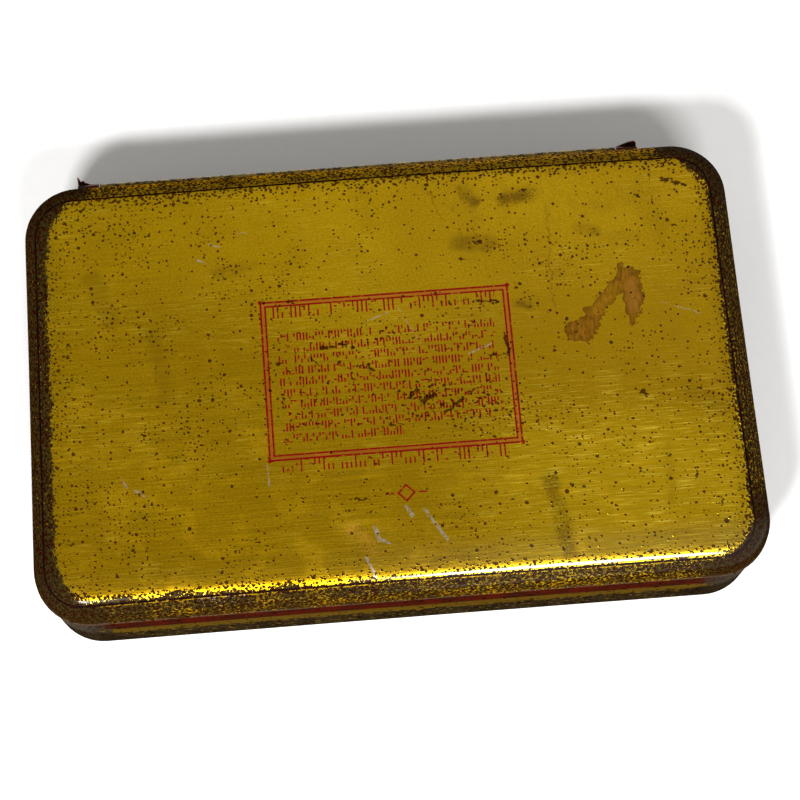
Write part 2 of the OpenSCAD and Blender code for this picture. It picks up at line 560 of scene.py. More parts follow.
def build_flat_noise(nodes, vector, size, detail, roughness, dimensions="2D"):
    """Fractal noise whose largest lumps are about size millimetres across."""
    noise = nodes.texture("ShaderNodeTexNoise", vector, size, Detail=detail, Roughness=roughness)
    noise.noise_dimensions = dimensions
    return [Value(nodes, noise.outputs["Fac"])]


def build_solid_noise(nodes, vector, size, detail, roughness):
    return build_flat_noise(nodes, vector, size, detail, roughness, "3D")


def build_jitter(nodes, vector, size, reach):
    """The same place, pushed about by noise, so that straight shapes become ragged."""
    noise = nodes.texture("ShaderNodeTexNoise", vector, size, Detail=3.0, Roughness=0.68)
    noise.noise_dimensions = "2D"
    push = nodes.vector("SUBTRACT", Value(nodes, noise.outputs["Color"]), (0.5, 0.5, 0.5))
    twice = reach * 2.0
    push = nodes.vector("MULTIPLY", push, nodes.pack(twice, twice))
    return [nodes.vector("ADD", vector, push)]


def build_cells(nodes, vector, size):
    """Distance to the nearest scattered point in millimetres, and two random numbers of that point."""
    cells = nodes.texture("ShaderNodeTexVoronoi", vector, size)
    cells.voronoi_dimensions = "2D"
    red, green, _ = nodes.split(Value(nodes, cells.outputs["Color"]))
    return [Value(nodes, cells.outputs["Distance"]) * size, red, green]


def build_chance(nodes, vector):
    """A random number for each whole-number place."""
    return [nodes.out("ShaderNodeTexWhiteNoise", [vector], "Value", noise_dimensions="3D")]


def build_stroke(nodes, place, start, span, pull):
    """Distance to a straight stroke; pull is its span over the square of its length."""
    from_start = nodes.vector("SUBTRACT", place, start)
    along = nodes.vector("DOT_PRODUCT", from_start, pull)
    along = nodes.least(nodes.most(along, 0.0), 1.0)
    return [nodes.vector("DISTANCE", from_start, nodes.scaled(span, along))]


VECTOR = ("Vector", "vector")
OBJECT_PLACE = tool("object_place", [], ["Place"], build_object_place)
GRAIN = [VECTOR, ("Size", "number"), ("Detail", "number"), ("Roughness", "number")]
FLAT_NOISE = tool("flat_noise", GRAIN, ["Value"], build_flat_noise)
SOLID_NOISE = tool("solid_noise", GRAIN, ["Value"], build_solid_noise)
JITTER = tool("jitter", [VECTOR, ("Size", "number"), ("Reach", "number")], ["Place"], build_jitter)
CELLS = tool("cells", [VECTOR, ("Size", "number")], ["Distance", "Present", "Grade"], build_cells)
CHANCE = tool("chance", [VECTOR], ["Value"], build_chance)
STROKE = tool("stroke", [VECTOR, ("Start", "vector"), ("Span", "vector"), ("Pull", "vector")], ["Distance"],
              build_stroke)


class Paint(Nodes):
    """Builds one procedural material in the object's own millimetres."""

    def __init__(self, name):
        self.material = bpy.data.materials.new(name)
        self.material.use_nodes = True
        super().__init__(self.material.node_tree)
        self.tree.nodes.clear()
        self.shader = self.tree.nodes.new("ShaderNodeBsdfPrincipled")
        output = self.tree.nodes.new("ShaderNodeOutputMaterial")
        self.tree.links.new(self.shader.outputs["BSDF"], output.inputs["Surface"])
        self.colour = None
        self.place = self.use(OBJECT_PLACE)[0]
        self.x, self.y, self.z = self.split(self.place)

    def use(self, group, *values):
        """Adds a node group and gives its outputs."""
        node = self.node("ShaderNodeGroup", values, node_tree=group)
        return [Value(self, socket) for socket in node.outputs]

    def noise(self, vector, size, detail=3, roughness=0.6):
        return self.use(FLAT_NOISE, vector, size, detail, roughness)[0]

    def solid_noise(self, vector, size, detail=3, roughness=0.6):
        return self.use(SOLID_NOISE, vector, size, detail, roughness)[0]

    def jitter(self, vector, size, reach):
        return self.use(JITTER, vector, size, reach)[0]

    def chance(self, vector):
        return self.use(CHANCE, vector)[0]

    def mix(self, amount, first, second):
        """Blends two colours. A Mix node's colour sockets are 6 and 7, and 2 going out."""
        node = self.node("ShaderNodeMix", data_type="RGBA")
        for socket, value in ((0, amount), (6, first), (7, second)):
            self.plug(node.inputs[socket], value)
        return Value(self, node.outputs[2])

    def blend(self, amount, first, second):
        return first + amount * (second - first)

    def specks(self, vector, size, density, smallest, largest, wobble, shift=None):
        """Scattered round spots: one in each cell whose random number is under the density. Each further
        layer of spots is shifted, so that its cells don't follow the first one's."""
        if shift:
            vector = self.vector("ADD", vector, (*shift, 0))
        distance, present, grade = self.use(CELLS, vector, size)
        distance += wobble
        radius = grade.ease(0, 1.4, smallest, largest)
        spot = (radius - distance).ease(-0.045, 0)
        return spot * (present < density)

    def rounded_rectangle(self, x, y, half_x, half_y, radius):
        """Signed distance to a rounded rectangle's outline: negative inside."""
        qx = abs(x) - (half_x - radius)
        qy = abs(y) - (half_y - radius)
        outside = self.vector("LENGTH", self.pack(self.most(qx, 0), self.most(qy, 0)))
        inside = self.least(self.most(qx, qy), 0)
        return outside + inside - radius

    def line(self, distance, half_width, soft=0.06):
        """A line where a signed distance passes through zero."""
        return 1 - abs(distance).ease(half_width, half_width + soft)

    def segment(self, flat, x1, y1, x2, y2):
        """Distance from a straight stroke on the panel, from one point to another."""
        across, up = x2 - x1, y2 - y1
        square = across ** 2 + up ** 2
        pull = (across / square, up / square, 0)
        return self.use(STROKE, flat, (x1, y1, 0), (across, up, 0), pull)[0]

    def strokes(self, flat, marks, soft=0.12):
        """One mask of several strokes, each given as its two ends, half width and strength."""
        masks = []
        for *ends, half_width, strength in marks:
            gap = self.segment(flat, *ends)
            masks.append(gap.ease(half_width - soft, half_width + soft, strength, 0))
        return self.most(*masks)

    def reach(self, flat, marks):
        """Signed distance to the nearest of several strokes, each given as its two ends and half width."""
        return self.least(*[self.segment(flat, *ends) - half_width for *ends, half_width in marks])

    def set(self, **inputs):
        """Sets or plugs the shader's own sockets."""
        for label, value in inputs.items():
            self.plug(self.shader.inputs[label.replace("_", " ")], value)

    def lay(self, amount, colour):
        """Lays a colour over what is there."""
        self.colour = self.mix(amount, self.colour, colour)

    def finish(self, metallic, roughness, relief=None):
        """Sets the main sockets. The relief is a height in millimetres."""
        self.set(Base_Color=self.colour, Metallic=metallic, Roughness=roughness)
        if relief is not None:
            bump = self.node("ShaderNodeBump")
            self.plug(bump.inputs["Distance"], MM)
            self.plug(bump.inputs["Height"], relief)
            self.set(Normal=Value(self, bump.outputs["Normal"]))
        return self.material


# Colours, in linear light
GOLD_DEEP = (0.47, 0.27, 0.003)
GOLD_BRIGHT = (0.68, 0.425, 0.006)
GOLD_BROWN = (0.24, 0.13, 0.006)
SMUDGE_BROWN = (0.16, 0.078, 0.004)
RUB_ORANGE = (0.85, 0.44, 0.04)
RUST_DARK = (0.008, 0.0012, 0.0004)
RUST_WARM = (0.026, 0.004, 0.001)
PATINA = (0.035, 0.0245, 0.0055)
PATINA_DARK = (0.0105, 0.0068, 0.0016)
BORDER_INK = (0.0015, 0.001, 0.0018)
RED_INK = (0.2, 0.005, 0.004)
INK_THIN = (0.6, 0.15, 0.02)
BAND_RED = (0.052, 0.0036, 0.0018)
BAND_BROWN = (0.024, 0.0036, 0.0018)
TIN_BARE = (0.62, 0.58, 0.5)
STAIN_BROWN = (0.07, 0.023, 0.0014)
STAIN_PALE = (0.185, 0.068, 0.0045)
STAIN_DUSTY = (0.215, 0.088, 0.014)
STAIN_EDGE = (0.04, 0.012, 0.001)
# Colour of the painted glints: highlights laid into the lacquer's colour
PAINTED_GLINT = (1, 0.74, 0.06)
RAW_EDGE = (0.085, 0.055, 0.035)
LID_TINT = (0.6, 0.42, 0.12)
BODY_TINT = (0.28, 0.24, 0.06)
STRIPE_DEEP = (0.13, 0.082, 0.001)
STRIPE_BRIGHT = (0.2, 0.13, 0.0014)
SIDE_PATINA = (0.022, 0.014, 0.006)
SIDE_PATINA_DARK = (0.01, 0.006, 0.003)
# Worn corner metal, made paler and greyer as a painted sheen
CORNER_WEAR_AND_SHEEN = (0.06, 0.044, 0.036)
INSIDE_DULL = (0.32, 0.29, 0.235)
INSIDE_CLEAR = (0.42, 0.395, 0.34)
INSIDE_DRAWN = (0.22, 0.19, 0.14)
INSIDE_STAIN = (0.16, 0.092, 0.038)
INSIDE_RUST = (0.12, 0.064, 0.028)
STRIP_GOLDS = ((0.26, 0.17, 0.03), (0.36, 0.25, 0.06))
EAR_REDS = ((0.13, 0.008, 0.005), (0.07, 0.006, 0.004))
WIRE_GREYS = ((0.42, 0.38, 0.33), (0.34, 0.3, 0.25))
PAPER = ((0.86, 0.86, 0.86), (0.9, 0.9, 0.9))


def unrolled(paint):
    """The panel's x and y, carried on down the sides, so that a pattern runs over the edge unbroken."""
    out_x = paint.most(abs(paint.x) - ARC_X, 0) * paint.x.sign()
    out_y = paint.most(abs(paint.y) - ARC_Y, 0) * paint.y.sign()
    outward = paint.vector("NORMALIZE", paint.pack(out_x, out_y))
    return paint.vector("ADD", paint.pack(paint.x, paint.y), paint.scaled(outward, TOP - paint.z))


def cornerness(paint):
    """One in the four corners, nothing along the straight sides."""
    far_x = abs(paint.x).ease(52, 63)
    far_y = abs(paint.y).ease(26, 37)
    return far_x * far_y


def notice(paint, x, y):
    """The printed notice: a double frame, rows of plain strokes that spell nothing, and a small ornament.
    Gives the full ink, and the thin ink that fills the space between the frame's two lines."""
    middle_y = -0.7
    ornament_x, ornament_y = 1.2, -24.2
    local_y = y - middle_y

    def frame_line(half_x, half_y, half_width):
        reach_x = abs(x) - half_x
        reach_y = abs(local_y) - half_y
        return paint.line(paint.most(reach_x, reach_y), half_width)

    outer = frame_line(23.45, 15.5, 0.17)
    inner = frame_line(22.6, 14.65, 0.15)
    between = frame_line(23.02, 15.07, 0.34)
    knob = paint.vector("LENGTH", paint.pack(abs(x) - 23.5, abs(local_y) - 15.55))
    knobs = 1 - knob.ease(0.38, 0.5)
    total = paint.most(outer, inner, knobs)

    def stroke_row(rise, seed, left, height, pitch):
        """A row of cells; each holds one loose stroke: tall, half as tall, or a short dash; or nothing."""
        cell_place = (x - left) * (1 / pitch)
        cell = cell_place.floor()
        aside = (cell_place.fraction() - 0.5) * pitch
        luck = paint.chance(paint.pack(cell, seed))
        other = paint.chance(paint.pack(cell, seed, 7))
        foot = (other > 0.72) * (0.5 * height)
        head = height - (other < 0.28) * (0.5 * height)
        upright = paint.line(aside, 0.14, 0.05) * (rise - foot).ease(-0.05, 0.05)
        upright *= (head - rise).ease(-0.05, 0.05)
        dash_rise = other.ease(0, 1, 0.1, height - 0.1)
        dash = paint.line(rise - dash_rise, 0.14, 0.05) * paint.line(aside, 0.24, 0.05)
        upright *= luck > 0.33
        dash *= paint.line(luck - 0.215, 0.114, 0.001)
        return paint.most(upright, dash) * (x > left)

    # Ten rows at an even pitch, the last one short
    row_place = (y - NOTICE_ROW) * (1 / NOTICE_PITCH)
    row_number = row_place.floor()
    row_rise = row_place.fraction() * NOTICE_PITCH
    rows = stroke_row(row_rise, row_number, -20.8, 1.6, 0.6)
    rows *= paint.line(row_number + 4.5, 4.6, 0.1)
    row_end = row_number.ease(-8.9, -8.1, 1.7, 20.4)
    rows *= x < row_end
    total = paint.most(total, rows)
    # The heading and the line under the frame, in taller strokes
    for baseline, seed in ((11.5, 31), (-18.7, 37)):
        heading = stroke_row(y - baseline, seed, -21.5, 2.5, 0.84)
        total = paint.most(total, heading * (x < 20.9))

    # The ornament below: a lozenge outline between two short bars
    low_y = y - ornament_y
    across = abs(x - ornament_x)
    lozenge = across + abs(low_y) - 1.5
    total = paint.most(total, paint.line(lozenge * 0.7, 0.15))
    bar = paint.line(low_y, 0.13) * paint.line(across - 3.1, 0.8)
    return paint.most(total, bar), between


def lid_print():
    """Gold lacquer on brushed tinplate, with its border line, red print, stains, scratches and rust, and
    painted light: a brightness gradient, a glow and glints.
    """
    paint = Paint("lid_print")
    x, y = paint.x, paint.y
    spread = unrolled(paint)
    flat = paint.pack(x, y)

    # Signed distance to the printed border line, which bows a little
    shift_x, shift_y = BORDER_SHIFT
    bow = 0.35 * (1 - paint.math("POWER", x * (1 / HALF_LENGTH), 2))
    half_x, half_y, radius = HALF_LENGTH - BORDER_INSET, HALF_DEPTH - BORDER_INSET, CORNER - BORDER_INSET
    border = paint.rounded_rectangle(x - shift_x, y - shift_y - bow, half_x, half_y, radius)
    corner = cornerness(paint)
    left = x.ease(-64, -57, 1, 0)
    right = x.ease(60, 66)
    sides = paint.most(left, right)

    # Brushing: long fine streaks along the tin, and the patches where bright glints are painted in as
    # highlights
    along, across, _ = paint.split(spread)
    streaks = paint.noise(paint.pack(along * 0.055, across * 3.2), 1, 4, 0.65)
    fine = paint.noise(paint.pack(along * 0.16, across * 5), 1, 2, 0.6)
    strong = paint.noise(paint.pack(x * 0.02, y * 0.05), 1, 2, 0.55)
    glint_patches = strong.ease(0.42, 0.62, 0, 0.45)
    low_right = x.ease(0, 30) * y.ease(5, -15)
    # Painted highlights: bright glints along the fine streaks, in random patches and low on the right
    painted_glints = fine.ease(0.56, 0.72) * paint.most(glint_patches, low_right)

    # The lacquer's colour: its own random tone, with painted light laid in as a gradient and a glow
    broad = paint.noise(flat, 38, 3, 0.5)
    mottled = paint.noise(flat, 7, 4, 0.6)
    grain = paint.noise(spread, 0.4)
    # Painted light: lighter towards the rear edge, and a little lighter left of the middle than towards the
    # right end
    tone_and_painted_light = x.ease(0, 60, 0.12, -0.05) + y.ease(-10, 40, -0.02, 0.35)
    # Painted highlight: a brighter glow low on the right, towards the front edge
    tone_and_painted_light += x.ease(0, 32) * y.ease(-6, -22, 0, 0.85)
    # The lacquer's own random tone: broad patches, streaks and grain
    tone_and_painted_light += broad.ease(0.3, 0.7, -0.2, 0.25)
    tone_and_painted_light += streaks.ease(0.3, 0.7, -0.05, 0.05)
    tone_and_painted_light += grain.ease(0.3, 0.7, -0.32, 0.32)
    paint.colour = paint.mix(paint.least(paint.most(tone_and_painted_light, 0), 1), GOLD_DEEP, GOLD_BRIGHT)
    smudge = (mottled + broad * 0.35).ease(0.66, 0.9)
    paint.lay(smudge * 0.16, GOLD_BROWN)
    # Lays the painted glints, highlights in the lacquer's colour
    paint.lay(painted_glints * 0.9, PAINTED_GLINT)

    # Greasy smudges and creases: start, end, half width and strength
    wandering = paint.jitter(flat, 3, 1.3)
    soft_marks = [
        (17.2, 34.8, 18.6, 32.4, 1.2, 0.62), (24.8, 32.4, 30, 33.2, 1.5, 0.62),
        (38.4, 25.3, 41.2, 24.8, 1.1, 0.55), (14.6, 24.3, 20.6, 23.6, 1.5, 0.46),
        (25.4, 10.8, 27.2, 10.5, 0.6, 0.62), (27.8, -24, 30.2, -38, 1.4, 0.5),
        (50.2, -18, 50, -29.5, 0.6, 0.25), (-31, 21.5, -24.5, 22.5, 1.1, 0.3),
        (56, -9, 61, -12, 1.6, 0.25), (-55, 22, -52, 14, 1.8, 0.26),
        (-44, 10, -42, -2, 1.5, 0.24),
    ]
    creases = [
        (9, 37.2, 12.5, 28.8, 0.1, 0.5), (31.9, 37.7, 32.6, 26.5, 0.08, 0.4),
        (32.6, 26.5, 31.9, 9.7, 0.12, 0.5),
    ]
    patchy = (mottled * 0.6 + grain).ease(0.66, 0.92, 0.1, 1.3)
    soft = paint.strokes(wandering, soft_marks, 0.9) * patchy
    soft = paint.most(soft, paint.strokes(wandering, creases, 0.14))
    paint.lay(soft, SMUDGE_BROWN)
    rub = paint.strokes(wandering, [(-9, -30.6, -5.4, -34.6, 1.3, 0.6)], 1)
    paint.lay(rub * patchy, RUB_ORANGE)

    # The brown residue: a blob, a diagonal run and a leaf, with a ragged edge: start, end and half width
    torn = paint.jitter(flat, 1.6, 0.9)
    parts = [
        (35.4, 4.7, 37.6, 5.6, 2), (37.4, 3.6, 39.4, 7.2, 1.6), (38.6, 7.2, 38.1, 8.8, 0.7),
        (39.4, 7.6, 42.2, 11.2, 1.35), (42.2, 10.8, 44.8, 13.4, 1.5), (45, 14, 45.4, 17.2, 0.6),
        (46.8, 15, 47.3, 10.6, 2.05), (47.3, 10.2, 47, 8.2, 1.55), (46.8, 8, 46.4, 5.4, 0.55),
    ]
    fray = 1
    reach = paint.reach(torn, parts) + (paint.noise(flat, 0.8) - 0.5) * fray
    residue = 1 - reach.ease(-0.12, 0.12)
    rim = residue * reach.ease(-0.8, 0)
    fibre = paint.noise(paint.pack(x * 2.2, y * 0.7), 1.3, 4, 0.7)
    residue_colour = paint.mix(fibre.ease(0.35, 0.65), STAIN_BROWN, STAIN_PALE)
    leaf_middle = paint.strokes(flat, [(47, 13, 47.2, 8.6, 1, 0.6)], 1)
    residue_colour = paint.mix(leaf_middle, residue_colour, STAIN_DUSTY)
    residue_colour = paint.mix(rim * 0.8, residue_colour, STAIN_EDGE)
    thin_run = paint.strokes(flat, [(40.2, 9, 43.4, 12.2, 1.4, 0.1)], 1.2)
    paint.lay(residue * (0.9 - thin_run), residue_colour)

    # Red print, a little broken where it has rubbed away
    print_mask, thin_ink = notice(paint, x, y)
    paint.lay(thin_ink * 0.6, INK_THIN)
    rubbed_ink = paint.noise(flat, 0.8).ease(0.28, 0.38)
    print_mask *= paint.blend(rubbed_ink, 0.3, 1)
    paint.lay(print_mask, RED_INK)

    # Pale scratches down to bright metal: start, end, half width and strength
    shaky = paint.vector("ADD", flat, paint.scaled(paint.vector("SUBTRACT", torn, flat), 0.4))
    scratches = [
        (-24, -17, -23.8, -21.5, 0.12, 1), (-51, -17.4, -50, -19.2, 0.2, 0.9),
        (-48.8, -19.8, -46.9, -21, 0.18, 0.8), (-34.8, 24.4, -33.5, 23.7, 0.2, 1),
        (-32.4, 27.4, -30.4, 26.8, 0.14, 0.7), (-27, 29.2, -25.4, 29.4, 0.12, 0.7),
        (0.9, -26.8, 1.9, -28.6, 0.34, 1), (-5.1, -30.4, -4.4, -32.7, 0.4, 1),
        (-3.7, -32.9, -2.5, -33.5, 0.24, 1), (-7.1, -35.8, -5.6, -39.4, 0.24, 1),
        (4.1, -27.4, 8, -33.6, 0.28, 1), (-3.5, 9.8, 0.5, 11, 0.09, 0.8),
        (52.5, 9.2, 59.5, 6.5, 0.06, 0.7), (2.4, 12.2, 6.2, 4.4, 0.06, 0.6),
        (15, 1.8, 19.5, 3.4, 0.12, 0.8),
    ]
    broken = paint.noise(flat, 0.9)
    bare = paint.strokes(shaky, scratches, 0.07) * broken.ease(0.42, 0.56, 0.15, 1)
    scuff_place = paint.segment(flat, -37, -40.9, -29.5, -41.2)
    scuff = scuff_place.ease(0.4, 1.3, 1, 0) * broken.ease(0.46, 0.58)
    bare = paint.most(bare, scuff)
    paint.lay(bare * 0.85, TIN_BARE)

    # Rust: how likely it is at each place
    edge_gap = border * -1
    near_edge = edge_gap.ease(0, 10, 1, 0)
    very_near = edge_gap.ease(0.3, 3.2, 1, 0)
    to_left = x.ease(-62, -10, 1, 0)
    clumps = paint.noise(flat, 14, 3, 0.55).ease(0.42, 0.64)
    density = 0.04 + clumps * 0.22 + to_left * (0.07 + clumps * 0.2) + near_edge * 0.15
    by_notice = paint.segment(flat, 6, -7, 23, -11).ease(1, 8, 0.42, 0)
    density += by_notice + low_right * 0.1
    density += very_near * 0.75
    density += paint.most(corner, left) * near_edge * 0.5

    wobble = (paint.noise(spread, 0.5, 2, 0.6) - 0.5) * 0.34
    wobble -= very_near * 0.08
    small = paint.specks(spread, 1.2, density, 0.15, 0.29, wobble)
    medium = paint.specks(spread, 2.7, density, 0.18, 0.42, wobble, (31, 17))
    tiny = paint.specks(spread, 0.8, density * 0.8, 0.11, 0.2, wobble, (7, 53))
    big = paint.specks(spread, 10, density * 0.5, 0.3, 0.6, wobble, (91, 3))
    rust = paint.most(small, medium, tiny, big)

    # Dark wear: solid round the ends and corners, thinning to islands inside the line and on the front roll
    blotch = paint.noise(spread, 0.6, 5, 0.72)
    coarse = paint.noise(spread, 6)
    on_ends = paint.most(sides, corner)
    front = y.ease(-36, -30, 1, 0)
    eaten = left * 1.3 + right * 0.5 + corner * 0.7
    eaten += front * x.ease(-60, 30, 0.3, -0.9)
    inward = eaten + (coarse - 0.5) * 3 - edge_gap
    on_roll = border.ease(-0.2, 0.5)
    inside_front = front * (0.85 - on_roll)
    wear = inward.ease(-4.2, 2.2) * paint.most(on_ends, inside_front)
    roll_wear = front * 0.1 + coarse.ease(0.3, 0.7, 0.4, 0.5)
    roll_wear += x.ease(-60, 40, 0.04, 0)
    roll_wear += on_ends.ease(0, 0.6) * 0.4
    cover = paint.most(wear, on_roll * roll_wear)
    most_cover = x.ease(20, 60, 0.65, 0.6) + corner * 0.2
    cover = paint.least(cover, most_cover)
    patina = (cover - blotch).ease(-0.02, 0.03)

    # Scuffs that rusted, each a ragged stroke: start, end and half width
    dark_marks = [
        (22.2, 4.9, 22.6, 0.6, 0.35), (20, 1.2, 18, 1.4, 0.2), (-12.6, 4.8, -8, 5.6, 0.25),
        (-6, 1, -2.2, -0.4, 0.25), (8, -5.6, 5.5, -7, 0.5), (9.5, -9.4, 13.2, -6.8, 0.3),
        (17.5, 12.2, 21.5, 11.6, 0.2), (-9.2, -24.8, -5.4, -24.9, 0.15), (-6.4, -27.2, -4.2, -27.3, 0.1),
        (46.6, -8.3, 47.8, -8.6, 0.35), (55.1, -23.6, 55, -25.4, 0.2), (55.5, 34.4, 59.5, 32.8, 0.3),
        (51.5, 37.3, 62, 27.2, -0.08), (-18, 14.9, -17, 14.6, 0.2), (17, 8.4, 14.6, 5.6, 0.05),
        (-1, -10.8, 1.2, -11.2, 0.15), (3, -6, 4.5, -4.4, 0.35), (-14.5, 3.2, -13.2, 1.6, 0.2),
    ]
    # The specks alone stand up as relief
    pitted = rust
    bite = (paint.noise(flat, 0.9, 4, 0.7) - 0.5) * 1.5
    rust = paint.most(rust, (paint.reach(torn, dark_marks) + bite).ease(-0.04, 0.1, 1, 0))

    rust_colour = paint.mix(grain.ease(0.35, 0.7), RUST_DARK, RUST_WARM)
    patina_colour = paint.mix(blotch.ease(0.3, 0.7), PATINA, PATINA_DARK)
    paint.lay(on_roll * 0.55, GOLD_BROWN)
    paint.lay(patina, patina_colour)
    ink = paint.line(border, 0.15, 0.08) * broken.ease(0.28, 0.4, 0.3, 1)
    paint.lay(ink, BORDER_INK)
    paint.lay(rust * 0.96, rust_colour)

    # The skirt's raw edge shows pale metal
    raw = 1 - paint.z.ease(LID_EDGE + 0.35, LID_EDGE + 0.75)
    raw *= paint.noise(spread, 2.5).ease(0.3, 0.5)
    paint.lay(raw * 0.6, RAW_EDGE)

    decay = paint.most(rust, patina * 0.92)
    metallic = paint.blend(decay, 1, 0.04) - residue * 0.5 - print_mask * 0.45
    gloss = 0.27 + streaks.ease(0.3, 0.7, -0.04, 0.06) + smudge * 0.1
    roughness = paint.blend(paint.most(rust, residue * 0.8), gloss, 0.68)
    roughness = paint.blend(patina, roughness, 0.36)

    relief = (streaks - 0.5) * 0.0035
    relief += (fine - 0.5) * x.ease(0, 40, 0.005, 0.009)
    relief += pitted * 0.01
    relief += patina * blotch * 0.03
    relief += (mottled - 0.5) * 0.03
    paint.set(Specular_Tint=LID_TINT, Specular_IOR_Level=0)
    varnish = y.ease(-32, -38, 0.06, 1) * paint.z.ease(TOP - 3, TOP - 0.9) * x.ease(-20, 20, 0.12, 1)
    paint.set(Coat_Weight=varnish, Coat_Roughness=0.13)
    return paint.finish(metallic, roughness, relief)


def body_print():
    """The body's side: dark red above, a gold stripe, and worn dark metal down to the resting edge."""
    paint = Paint("body_print")
    spread = unrolled(paint)
    height = paint.z
    coarse = paint.noise(spread, 6)
    blotch = paint.noise(spread, 1.5, 5, 0.7)
    drawn = paint.pack(paint.x * 0.06, paint.y * 0.06, height * 3)
    streaks = paint.solid_noise(drawn, 1, 4, 0.65)

    gold = paint.mix(streaks.ease(0.3, 0.7), STRIPE_DEEP, STRIPE_BRIGHT)
    red = paint.mix(coarse.ease(0.3, 0.7), BAND_RED, BAND_BROWN)
    edge_wander = (coarse - 0.5) * 0.5
    in_red = (height + edge_wander).ease(RED_BOTTOM - 0.08, RED_BOTTOM + 0.08)
    paint.colour = paint.mix(in_red, gold, red)
    thin_rule = paint.line(height - (RED_BOTTOM - 0.05), 0.1)
    paint.lay(thin_rule * 0.7, BORDER_INK)

    corner = cornerness(paint)
    low = height.ease(GOLD_BOTTOM - 1.8, GOLD_BOTTOM + 1.4, 1, 0)
    need = 0.34 + low * 0.28 + corner * 0.45
    worn = (need - blotch).ease(-0.03, 0.04)
    density = 0.3 + (low * 0.5 + corner * 0.4)
    wobble = (paint.noise(spread, 0.6, 2, 0.6) - 0.5) * 0.3
    fine_specks = paint.specks(spread, 1.3, density, 0.12, 0.3, wobble)
    large_specks = paint.specks(spread, 3, density, 0.25, 0.6, wobble, (13, 29))
    rust = paint.most(fine_specks, large_specks)
    patina_colour = paint.mix(coarse.ease(0.3, 0.7), SIDE_PATINA, SIDE_PATINA_DARK)
    # The corners: worn bare metal, partly real wear and partly a grey-pink sheen painted in as reflection
    worn_corner_and_sheen = corner * height.ease(GOLD_BOTTOM - 1, GOLD_BOTTOM + 3)
    worn_corner_and_sheen *= blotch.ease(0.62, 0.42, 0.35, 1)
    # Mixes the painted corner sheen into the patina colour
    patina_colour = paint.mix(worn_corner_and_sheen, patina_colour, CORNER_WEAR_AND_SHEEN)
    paint.lay(worn, patina_colour)
    paint.lay(rust * (1 - worn_corner_and_sheen), RUST_DARK)

    decay = paint.most(rust, worn * 0.85)
    metallic = paint.blend(decay, paint.blend(in_red, 0.95, 0.12), 0.05)
    metallic = paint.blend(worn_corner_and_sheen, metallic, 0.5)
    roughness = 0.3 + (worn * 0.14 + rust * 0.3) + streaks.ease(0.3, 0.7, -0.04, 0.06)
    relief = (streaks - 0.5) * 0.008 + rust * 0.035 + worn * blotch * 0.05
    paint.set(Specular_Tint=BODY_TINT, Specular_IOR_Level=0)
    return paint.finish(metallic, roughness, relief)


def bare_tinplate():
    """The inside of both shells: dull tinplate with drawing marks, brown specks and old tobacco stains."""
    paint = Paint("bare_tinplate")
    spread = unrolled(paint)
    broad = paint.noise(spread, 30, 4, 0.55)
    mottled = paint.noise(spread, 5, 5, 0.65)
    drawn = paint.pack(paint.x * 0.06, paint.y * 3, paint.z * 3)
    brushed = paint.solid_noise(drawn, 1, 4, 0.6)
    paint.colour = paint.mix(broad.ease(0.3, 0.7), INSIDE_DULL, INSIDE_CLEAR)
    paint.lay(brushed.ease(0.35, 0.75, 0, 0.3), INSIDE_DRAWN)
    stain = (mottled + broad * 0.6).ease(0.72, 1.04)
    paint.lay(stain * 0.55, INSIDE_STAIN)
    edge = paint.rounded_rectangle(paint.x, paint.y, HALF_LENGTH, HALF_DEPTH, CORNER)
    near_edge = edge.ease(-6, -0.6)
    density = 0.1 + near_edge * 0.35
    wobble = (paint.noise(spread, 0.6, 2, 0.6) - 0.5) * 0.3
    fine_specks = paint.specks(spread, 2.2, density, 0.1, 0.34, wobble)
    large_specks = paint.specks(spread, 7, density, 0.3, 0.8, wobble, (5, 71))
    rust = paint.most(fine_specks, large_specks)
    paint.lay(rust, RUST_WARM)
    creep = near_edge * mottled.ease(0.44, 0.7)
    paint.lay(creep * 0.5, INSIDE_RUST)
    metallic = 0.82 - paint.most(rust, stain * 0.5) * 0.6
    roughness = 0.48 + (rust * 0.25 + stain * 0.1)
    relief = (brushed - 0.5) * 0.008 + rust * 0.03
    return paint.finish(metallic, roughness, relief)


def worn_strip(name, colours, wear, gloss):
    """Print on a curled strip, worn through to dark metal along its ridges."""
    paint = Paint(name)
    drawn = paint.pack(paint.x * 0.25, paint.y * 2, paint.z * 2)
    streaks = paint.solid_noise(drawn, 1, 4, 0.6)
    blotch = paint.solid_noise(paint.place, 0.9, 4, 0.7)
    paint.colour = paint.mix(streaks.ease(0.3, 0.7), *colours)
    worn = blotch.ease(wear, wear + 0.08)
    paint.lay(worn, PATINA)
    rust = paint.solid_noise(paint.place, 0.45).ease(0.62, 0.68)
    paint.lay(rust, RUST_DARK)
    metallic = 0.95 - paint.most(worn, rust) * 0.45
    roughness = gloss + (worn * 0.12 + rust * 0.3)
    relief = blotch * 0.02 + rust * 0.02
    return paint.finish(metallic, roughness, relief)


def floor_paper():
    """A plain pale sheet with only a breath of grain."""
    paint = Paint("floor_paper")
    grain = paint.noise(paint.place, 3)
    paint.colour = paint.mix(grain, *PAPER)
    return paint.finish(0, 0.85)


# --- Building the pieces ---
def dress(piece, body, nodes, materials):
    """Gives a piece its materials, hides the CAD nodes it stands for and sets it on its body."""
    for material in materials:
        piece.data.materials.append(material)
    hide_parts(*nodes)
    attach(piece, body)


tinplate = bare_tinplate()

profile, bead, outer_count = lid_profile()
lid = drawn_shell("lid_sheet", profile, outer_count, bead)
settle(lid, True)
cut_notches(lid)
dress(lid, "lid", ["lid_shell"], [lid_print(), tinplate])

profile, outer_count = body_profile()
body = drawn_shell("body_sheet", profile, outer_count)
settle(body, False)
dress(body, "body", ["body_shell"], [body_print(), tinplate])

